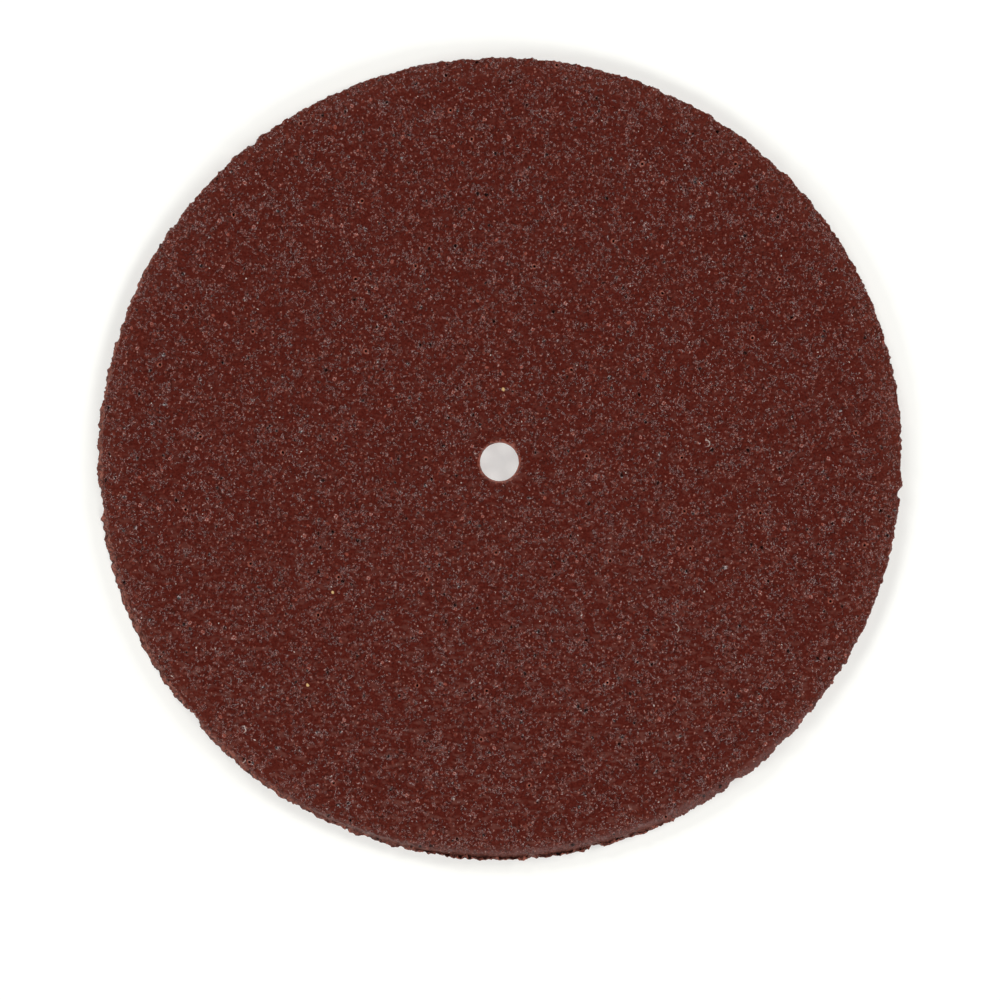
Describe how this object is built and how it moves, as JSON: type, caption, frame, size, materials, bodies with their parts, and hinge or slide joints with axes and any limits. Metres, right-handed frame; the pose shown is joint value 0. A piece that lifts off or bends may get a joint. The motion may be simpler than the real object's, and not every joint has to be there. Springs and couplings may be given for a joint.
{
  "type": "cut off wheel",
  "caption": "Thin flat abrasive cut-off disc of dark red resin-bonded grit with a small plain arbor hole, a rolled upper edge and a chipped rough rim.",
  "frame": {"origin": "on the arbor hole's axis, at the lower face", "axes": "+Z along the arbor hole's axis, out of the upper face with the rolled edge; +X to the right in the picture and +Y to its top"},
  "size_m": [0.038, 0.0379, 0.001],
  "materials": {
    "bonded_grit": "matte"
  },
  "bodies": {
    "root": {"abrasive_disc": "bonded_grit"}
  },
  "joints": []
}
